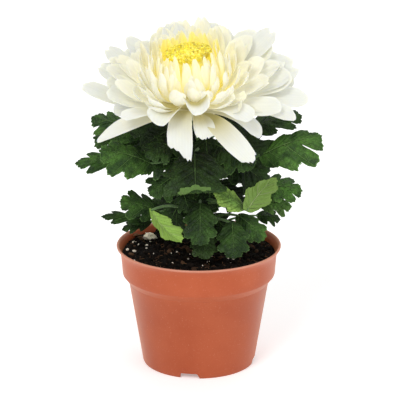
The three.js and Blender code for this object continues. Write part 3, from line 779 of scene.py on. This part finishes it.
def addVeins(tree, along, reach):  # 1 on the midrib and on the main side veins, 0 between them
    veins = addRange(tree, reach, 0.06, 0.02)
    for row, width in ((2.2, 0.12), (4.8, 0.14), (9.3, 0.14), (13.5, 0.12)):
        away = addMath(tree, "ABSOLUTE", addMath(tree, "SUBTRACT", along, row / 16))
        width = times(tree, addMath(tree, "SUBTRACT", 1.25, reach), width / 16)
        line = addRange(tree, away, width, times(tree, width, 0.35))
        veins = highest(tree, veins, line)
    return veins


def foliageMaterial():
    material, tree, shader = newMaterial("foliage")
    tone, lime = addTint(tree)[:2]
    along, across, face = addBladeMap(tree)
    place = addPlace(tree)
    reach = addMath(tree, "ABSOLUTE", across)
    veins = addVeins(tree, along, reach)
    net = tree.nodes.new("ShaderNodeTexVoronoi")
    net.feature = "DISTANCE_TO_EDGE"
    wireAll(tree, net, {"Vector": place, "Scale": 330.0})
    fine = addRange(tree, net.outputs["Distance"], 0.09, 0.02)
    patches = addNoise(tree, 110.0, 4.0, 0.6, place)
    top = addMix(tree, addRange(tree, patches, 0.34, 0.68), foliage["dark"], foliage["green"])
    top = addMix(tree, times(tree, fine, 0.22), top, foliage["vein"])
    pale = highest(tree, veins, addRange(tree, reach, 0.95, 0.985))
    top = addMix(tree, times(tree, pale, 0.7), top, foliage["vein"])
    colour = addMix(tree, face, top, addMix(tree, lime, foliage["under"], foliage["lime"]))
    light = times(tree, lime, addRange(tree, reach, 0.2, 1, 0.25, 0.8))
    colour = addMix(tree, light, colour, foliage["lime"])
    below = times(tree, veins, times(tree, face, 0.75))
    colour = addMix(tree, below, colour, foliage["underVein"])
    colour = addShade(tree, colour, addMix(tree, tone, (0.5, 0.5, 0.5, 1), (1.5, 1.5, 1.5, 1)))
    away = tree.nodes.new("ShaderNodeVectorMath")  # leaves are painted darker inside the plant, near its stem, as the shade that falls there
    away.operation = "LENGTH"
    wire(tree, stretched(tree, place, (1, 1, 0)), away.inputs[0])
    inner = addRange(tree, away.outputs["Value"], 0.02, 0.07, foliage["paintedInnerShade"], 1.0)
    # the painted shade is kept off lime leaves, undersides, veins and margins
    colour = addShade(tree, colour, highest(tree, inner, lime, face, times(tree, pale, 0.8)))
    rough = addRange(tree, patches, 0.3, 0.7, 0.42, 0.6)
    wireAll(tree, shader, {"Base Color": colour, "Roughness": rough, "Specular IOR Level": 0.22})
    proud = times(tree, face, 1.3, -1.0)  # the veins are sunk above and stand out below
    height = times(tree, veins, proud, times(tree, patches, 0.5))
    sunk = times(tree, face, -0.2, 0.25)
    height = addMath(tree, "SUBTRACT", height, times(tree, fine, sunk))
    addBump(tree, shader, height, 0.003, 1.0)
    return material


def buildLeaves():
    bm = newPiece()
    for n, leaf in enumerate(allLeaves()):
        tint = (leaf.get("tone", 0.5 + 0.4 * draw(n, 41)), leaf["lime"], 0, 1)
        addBlade(bm, *foliage["grid"], leafPlace(leaf, n), foliage["thickness"], tint)
    finishPiece(bm, "leaves", foliageMaterial(), "leafy_stem")


bloom = {
    "base": (-3, -2.6, 187.4),
    "forward": 9,
    "left": 5,
    "coreRadius": 17.5,
    "coreHeight": 47,
    "rays": 67,
    "fillers": 140,
    "crowding": 1.9,
    "thickness": 0.4,
    "grid": (16, 8),
    "guardGrid": (20, 10),
    "white": (0.79, 0.775, 0.65, 1),
    "outerWhite": (0.70, 0.71, 0.66, 1),
    "cream": (0.85, 0.79, 0.46, 1),
    "yellow": (0.95, 0.86, 0.2, 1),
    "beigeAndShade": (0.45, 0.40, 0.17, 1),
    # the petals' painted glow, light of their own that lifts their shade
    "paintedGlow": 0.22,
}


def bloomFrame():
    lean = Matrix.Rotation(radians(bloom["forward"]), 4, "X")
    return Matrix.Translation(bloom["base"]) @ lean @ Matrix.Rotation(-radians(bloom["left"]), 4, "Y")


def seatOnStem(bm):  # brings a piece made round the bloom's own axis to its place
    bmesh.ops.transform(bm, matrix=bloomFrame(), verts=bm.verts[:])


plainPetal = {
    "share": 1,  # how far out it grows, from 0 to 1
    "cup": 0.2,  # how far its sides bend up
    "scoop": 0,  # how far its end bends up
    "swing": 0,  # how far it sweeps round the bloom, in degrees
    "twist": 0,  # how far it turns about its curve, in degrees
    "narrow": 0,  # how much narrower its root is
    "taper": 0,  # how much narrower its end is
    "round": 0.11,  # how round its end is
    "ragged": 0.006,  # how uneven its end is
    "skew": 0,  # how slanted its end is
    "aged": 0.5,  # how brown its root is; the high values of the two cupped guard petals paint the shade inside their cups
}  # and notch, how deep its end is cut in, which is drawn for a petal that has none


def newPetal(azimuth, path, width, **more):
    return {**plainPetal, "azimuth": azimuth, "path": path, "width": width, **more}


# A ray petal by its place in the spiral: the inner ones narrow, upright and curved in over the disc, most so
# at the front, the outer ones broad and spreading, those at the back raised. At the very back the outer ones
# make room for guard petals.
def rayPetal(n):
    share = min(1, n / (bloom["rays"] - 1))
    azimuth = n * goldenAngle + 7 * draw(n, 2)
    toRight, toBack = cos(radians(azimuth)), sin(radians(azimuth))
    toFront = max(0, -toBack)
    broad = 1 + 0.1 * draw(n, 8) + 0.22 * max(0, toRight) * smooth(0.3, 0.7, share)
    size = (1 + 0.1 * draw(n, 1)) * (1 - share * (0.16 * toFront + 0.06 * max(0, -toRight)))
    raised = min(1, 2.4 * share ** 1.6) * (15 * toBack - 8 * toRight * (1 - 1.5 * max(0, toBack)))
    root = (lerp(bloom["coreRadius"] - 2, 10, share), lerp(24, 4.5, share))
    tip = (
        size * through([(0, 18), (0.25, 28), (0.5, 43), (0.75, 61), (1, 76)], share),
        through([(0, 53), (0.25, 48), (0.5, 41), (0.75, 32), (1, 19)], share) + raised + 4 * draw(n, 4)
        - 2.5 * toFront * (1 - share),
    )
    bow = through([(0, 1), (0.3, 0.9), (0.6, 0.65), (1, 0.5)], share)
    bulge = (5 + 9 * toFront) * (1 - share)
    bend = (lerp(root[0], tip[0], bow) + bulge, lerp(root[1], tip[1], 0.3 - 0.15 * toFront * (1 - share)))
    width = through([(0, 6), (0.25, 7.6), (0.4, 9.8), (0.6, 16), (0.8, 19), (1, 21)], share)
    return newPetal(
        azimuth, [root, bend, tip], width * broad, share=share,
        cup=through([(0, 0.4), (0.4, 0.45), (1, 0.35)], share),
        scoop=through([(0, 0), (0.4, 1), (1, 0.4)], share),
        swing=11 * draw(n, 6),
        twist=26 * min(1, 1.5 * share) * toRight + 14 * draw(n, 7),
        taper=through([(0, 0), (0.5, 0.12), (1, 0)], share) + 0.15 * draw(n, 9),
        makesRoom=(share > 0.68 and toBack < -0.62) or (share > 0.45 and toBack < -0.92),
    )


# The guard petals under the rest, each as it hangs: its direction, the curve it follows and its width.
guardPetals = [
    newPetal(-102, [(9, 6), (48, 33), (47, -16)], 19, skew=0.08, narrow=0.3, round=0.02, ragged=0.022,
             aged=0.9),
    newPetal(-68, [(9, 4), (44, 18), (70, -13)], 16, swing=12, twist=30, round=0.05, ragged=0.02, aged=1.1),
    newPetal(-79, [(9, 4), (42, 16), (42, -1)], 15, ragged=0.05, aged=0.8),
    # These two cupped petals have deep beige roots, painted as the shade inside their cups.
    newPetal(-86, [(11, 14), (37, 31), (44, 19)], 18, cup=0.85, twist=-12, scoop=3, aged=3),
    newPetal(-116, [(10, 8), (38, 26), (49, 13)], 22, cup=0.6, scoop=2, ragged=0, notch=0, aged=2),
    newPetal(-136, [(9, 5), (46, 22), (65, 21)], 19, notch=0),
    newPetal(-139, [(9, 4), (53, 23), (74, -3)], 20, swing=-20, twist=-35, taper=0.6, notch=0),
    newPetal(-164, [(9, 5), (40, 18), (58, 14)], 18, twist=-25),
    newPetal(177, [(9, 5), (52, 7), (79, 29)], 18, cup=0.4, swing=2, twist=-20),
    newPetal(161, [(10, 8), (48, 18), (70, 35)], 18, twist=-20),
    newPetal(151, [(10, 12), (48, 22), (69, 44)], 17, twist=-15),
    newPetal(136, [(11, 14), (44, 26), (62, 47)], 16),
    newPetal(-4, [(9, 4), (48, 14), (82, 7)], 20, twist=32),
    newPetal(9, [(9, 6), (48, 16), (74, 16)], 20, twist=34),
    newPetal(-18, [(9, 4), (46, 16), (75, 1)], 17, twist=16),
    newPetal(-38, [(9, 4), (42, 14), (58, -5)], 15),
    newPetal(-48, [(9, 5), (42, 22), (59, 12)], 20),
    newPetal(32, [(12, 20), (48, 26), (72, 46)], 16, cup=0.3, twist=45),
    newPetal(74, [(12, 20), (46, 30), (62, 46)], 18, cup=0.4),
    newPetal(105, [(12, 22), (40, 32), (49, 54)], 18, cup=0.4),
]
petalWidths = [  # how broad a petal is along its length, as a share of its full width
    (0, 0.36), (0.12, 0.46), (0.25, 0.62), (0.4, 0.8), (0.55, 0.94), (0.7, 1), (0.82, 0.97), (0.9, 0.86),
    (0.96, 0.74), (1, 0.66),
]


def petalPlace(petal, n):  # place for a petal, by where it lies on its curve and how wide it is there
    path = [(r, 0, z) for r, z in petal["path"]]
    frameOfBloom = bloomFrame()
    notch = petal.get("notch", 0.07 * max(0, draw(n, 51)))
    wave = 0.45 * draw(n, 52)
    crease = lerp(0.26, 0.14, petal["share"])

    def place(u, v):
        reach = abs(v)
        along = u * (1 - petal["round"] * reach ** 3)
        along -= notch * exp(-(v / 0.3) ** 2) * smooth(0.85, 1, u)
        along += petal["skew"] * (v - 1) * u ** 3
        along += petal["ragged"] * sin(9 * v + n) * cos(4 * v) * u ** 6
        at, tangent = bezier(path, along)
        normal = Vector((-tangent.z, 0, tangent.x))
        twist = radians(petal["twist"] * along)
        side = cos(twist) * Vector((0, 1, 0)) + sin(twist) * normal
        over = cos(twist) * normal - sin(twist) * Vector((0, 1, 0))
        half = petal["width"] / 2 * through(petalWidths, along)
        half *= (1 - petal["narrow"] * (1 - u) ** 1.5) * (1 - petal["taper"] * u ** 2)
        lift = half * petal["cup"] * reach ** 2
        lift += (crease * cos(3 * pi * v) + wave * sin(7 * u + n) * reach) * smooth(0, 0.3, u)
        lift += petal["scoop"] * smooth(0.6, 1, u) ** 2
        at = at + half * v * side + lift * over
        swing = radians(petal["azimuth"] + petal["swing"] * along * along)
        return frameOfBloom @ (Matrix.Rotation(swing, 4, "Z") @ at)
    return place


def petalMaterial():
    material, tree, shader = newMaterial("creamyPetal")
    share, own, aged = addTint(tree)
    along, across, face = addBladeMap(tree)
    place = addPlace(tree)
    fade = times(tree, along, 0.55, times(tree, share, 1.2, -0.08))
    fade = times(tree, face, 0.2, fade)  # from yellow in the middle to white outside
    colour = addMix(tree, addRange(tree, fade, 0.25, 0.7), bloom["yellow"], bloom["cream"])
    colour = addMix(tree, addRange(tree, fade, 0.5, 1.05), colour, bloom["white"])
    colour = addMix(tree, addRange(tree, fade, 1.1, 1.6), colour, bloom["outerWhite"])
    # the root is mixed towards beige: its own colour, and on the cupped guard petals painted shade
    root = times(tree, aged, addRange(tree, along, 0.9, 0.25))
    colour = addMix(tree, root, colour, bloom["beigeAndShade"])
    lines = addMath(tree, "COSINE", times(tree, across, 26.0))
    strand = addNoise(tree, 160.0, 3.0, 0.6, place)
    fine = times(tree, strand, 0.9, times(tree, lines, 0.16))
    colour = addShade(tree, colour, addRange(tree, fine, 0.0, 0.9, 0.965, 1.0))
    colour = addShade(tree, colour, times(tree, own, 0.05, 0.96))
    wireAll(tree, shader, {
        "Base Color": colour, "Roughness": 0.55, "Specular IOR Level": 0.3,
        "Subsurface Weight": 0.85, "Subsurface Radius": (0.008, 0.0075, 0.005),
        "Emission Color": colour, "Emission Strength": bloom["paintedGlow"],  # painted glow: light of the petals' own that stands in for light soaking through them and lifts the shade in their crevices
    })
    addBump(tree, shader, fine, 0.0003, 0.35)
    return material


def buildPetals():
    material = petalMaterial()
    rays = newPiece()
    rayCount, fillers = bloom["rays"], bloom["fillers"]
    spots = list(range(rayCount))  # and between them the fillers, more of them towards the middle
    spots += [0.5 + (rayCount - 2) * (k / fillers) ** bloom["crowding"] for k in range(fillers)]
    for n in spots:
        petal = rayPetal(n)
        if not petal["makesRoom"]:
            tint = (petal["share"], 0.5 + 0.5 * draw(n, 61), 0, 1)
            addBlade(rays, *bloom["grid"], petalPlace(petal, n), bloom["thickness"], tint)
    finishPiece(rays, "rayPetals", material, "bloom_rays")
    guards = newPiece()
    for n, petal in enumerate(guardPetals):
        tint = (1, 0.5 + 0.5 * draw(n, 62), petal["aged"], 1)
        addBlade(guards, *bloom["guardGrid"], petalPlace(petal, n), bloom["thickness"], tint)
    finishPiece(guards, "guardPetals", material, "bloom_rays")
    core = newPiece()
    r = bloom["coreRadius"]
    outline = [(0, 0.3), (10, 0.3), (r - 5, 8), (r - 4, 26), (r - 4, 40), (r - 5, 44.6), (0, 45.6)]
    addTurned(core, outline, 48, (0.4, 0.5, 0, 1))
    shade = tintOf(core)
    for vert in core.verts:
        if vert.co.z < 20:  # its lower part is pale, like the outer petals that grow there
            vert[shade] = (1, 0.5, 0.5, 1)
    seatOnStem(core)
    finishPiece(core, "bloomCore", material, "bloom_rays")


disc = {
    "radius": 16.2,
    "rise": 6.0,
    "florets": 230,
    "yellow": (0.96, 0.82, 0.05, 1),
    "pale": (0.98, 0.92, 0.25, 1),
    "olive": (0.46, 0.29, 0.02, 1),
    # the florets' painted glow, light of their own that lifts their shade
    "paintedGlow": 0.22,
}


def discMaterial():
    material, tree, shader = newMaterial("yellowFloret")
    share, own, brown = addTint(tree)
    place = addPlace(tree)
    speck = addNoise(tree, 420.0, 3.0, 0.6, place)
    colour = addMix(tree, addRange(tree, speck, 0.35, 0.7), disc["yellow"], disc["pale"])
    colour = addMix(tree, times(tree, brown, 0.9), colour, disc["olive"])
    colour = addShade(tree, colour, times(tree, own, 0.35, 0.72))
    wireAll(tree, shader, {
        "Base Color": colour, "Roughness": times(tree, share, 0.1, 0.5),
        "Subsurface Weight": 0.15, "Subsurface Radius": (0.0015, 0.001, 0.0003),
        # painted glow that lifts the shade among the florets
        "Emission Color": colour, "Emission Strength": disc["paintedGlow"],
    })
    addBump(tree, shader, speck, 0.0003, 0.6)
    return material


def buildDisc():
    foot = bloom["coreHeight"] + 0.3
    bm = newPiece()
    r, rise = disc["radius"], disc["rise"]
    low, top = foot - 1, foot + rise - 2
    bed = [(0, low), (r - 2.5, low), (r - 2, foot), (0.6 * r, top - 1), (0, top)]
    addTurned(bm, bed, 40, (0, 0.6, 0.12, 1))
    for n in range(disc["florets"]):
        share = sqrt((n + 0.5) / disc["florets"])
        size = lerp(0.55, 1.0, smooth(0, 0.8, share)) * (1 + 0.12 * draw(n, 32))
        height = lerp(1.7, 3.4, share) + 0.4 * draw(n, 31)
        olive = max(0, draw(n, 33)) ** 3 * (1 - 0.3 * share)
        stand = Matrix.Rotation(radians(n * goldenAngle + 6 * draw(n, 34)), 4, "Z")
        stand @= Matrix.Translation((share * (r - 1.2), 0, foot + rise * (1 - 0.75 * share ** 2) - 2.4))
        stand @= Matrix.Rotation(radians(30 * share + 6 * draw(n, 35)), 4, "Y")
        addFloret(bm, stand, size, height, (share, 0.5 + 0.5 * draw(n, 36), olive, 1))
    seatOnStem(bm)
    finishPiece(bm, "discFlorets", discMaterial(), "bloom_disc")


def addFloret(bm, stand, size, height, tint):  # a small tube that flares to five blunt lobes
    rows = [  # how far out, how high and how lobed
        (0.0, -1.0, 0), (0.42, -1.0, 0), (0.5, 0.55 * height, 0), (0.85, 0.92 * height, 0.1),
        (0.95, height, 0.25), (0.45, 0.86 * height, 0.05), (0.0, 0.7 * height, 0),
    ]
    last = len(rows) - 1

    def place(u, v):
        out, up, lobe = rows[round(u * last)]
        ring = size * out * (1 + lobe * cos(5 * pi * v))
        return stand @ around(ring, pi * v, up)

    addTube(bm, last, 10, place, tint)


cup = {
    "depth": 7,
    "bracts": 13,
    "green": (0.1, 0.2, 0.05, 1),
    "pale": (0.3, 0.38, 0.14, 1),
}


def cupMaterial():
    material, tree, shader = newMaterial("greenBract")
    along = addBladeMap(tree)[0]
    place = addPlace(tree)
    cloud = addNoise(tree, 300.0, 4.0, 0.6, place)
    colour = addMix(tree, addRange(tree, along, 0.5, 1), cup["green"], cup["pale"])
    colour = addMix(tree, times(tree, cloud, 0.4), colour, cup["pale"])
    wireAll(tree, shader, {"Base Color": colour, "Roughness": 0.6, "Sheen Weight": 0.2})
    addBump(tree, shader, cloud, 0.0004, 0.6)
    return material


def buildCup():
    bm = newPiece()
    low = -cup["depth"]
    bowl = [(0, low), (2.6, low), (3.6, low + 0.6), (6, -4), (8.6, -1.8), (10.2, -0.6), (10.8, 0), (0, 0)]
    addTurned(bm, bowl, 48, (0, 0.5, 0, 1))
    seatOnStem(bm)
    for row, (count, path, width) in enumerate((
        (cup["bracts"], [(4, -4.6), (8.2, -3.6), (11, -1.2)], 4.4),
        (cup["bracts"] - 2, [(6, -3), (10, -2.2), (12.6, 0.4)], 4.8),
    )):
        for n in range(count):
            bract = newPetal((n + 0.5 * row) * 360 / count, path, width, cup=0.15)
            addBlade(bm, 8, 6, petalPlace(bract, n + 20 * row), 0.5, (0.5, 0.5, 0, 1))
    finishPiece(bm, "bloomCup", cupMaterial(), "bloom_cup")


view = {
    "camera": (0.0009, -1.4317, 0.5801),
    "pitch": 72.29,
    "lens": 186.5,
    "sensor": 36,
    "floorSize": 9.0,
    "floorColours": [(0.94, 0.94, 0.94, 1), (0.96, 0.96, 0.96, 1)],
    "floorGlow": 0.32,
    "skyStrength": 0.45,
    "suns": [  # name, where it stands, how soft its shadows are in degrees, and its power
        ("keySun", (-0.5, -1.0, 1.0), 25, 1.25),
        ("fillSun", (0.8, -0.7, 0.6), 50, 0.7),
        ("backSun", (0.1, 0.7, 1.3), 50, 0.6),
    ],
}


def addCamera():
    data = bpy.data.cameras.new("camera")
    data.lens = view["lens"]
    data.sensor_width = view["sensor"]
    camera = link("camera", data)
    camera.location = view["camera"]
    camera.rotation_euler = (radians(view["pitch"]), 0, 0)
    bpy.context.scene.camera = camera


def addFloor():
    bm = bmesh.new()
    bmesh.ops.create_grid(bm, x_segments=4, y_segments=4, size=view["floorSize"] / 2)
    floor = addObject("floor", bm)
    material, tree, shader = newMaterial("paleFloor")
    tone = addRange(tree, addNoise(tree, 3.0, 2.0, 0.5), 0.2, 0.8)
    wireAll(tree, shader, {
        "Base Color": addMix(tree, tone, *view["floorColours"]), "Roughness": 0.9,
        "Emission Color": (1, 1, 1, 1), "Emission Strength": view["floorGlow"],
    })
    floor.data.materials.append(material)


def addSun(name, place, softness, power):  # a wide soft light that falls from a direction
    data = bpy.data.lights.new(name, "SUN")
    data.angle = radians(softness)
    data.energy = power
    light = link(name, data)
    light.location = place
    light.rotation_euler = (-Vector(place)).to_track_quat("-Z", "Y").to_euler()


def addStudio():
    world = bpy.data.worlds.new("studio")
    world.use_nodes = True
    sky = {"Color": (1, 1, 1, 1), "Strength": view["skyStrength"]}
    wireAll(world.node_tree, world.node_tree.nodes["Background"], sky)
    bpy.context.scene.world = world
    for sun in view["suns"]:
        addSun(*sun)
    bpy.context.scene.view_settings.view_transform = "Standard"


addCamera()
addFloor()
addStudio()
print("camera, floor and lights are in place")
buildPot()
buildSoil()
buildStem()
buildLeaves()
buildCup()
buildPetals()
buildDisc()
print("all pieces are made")
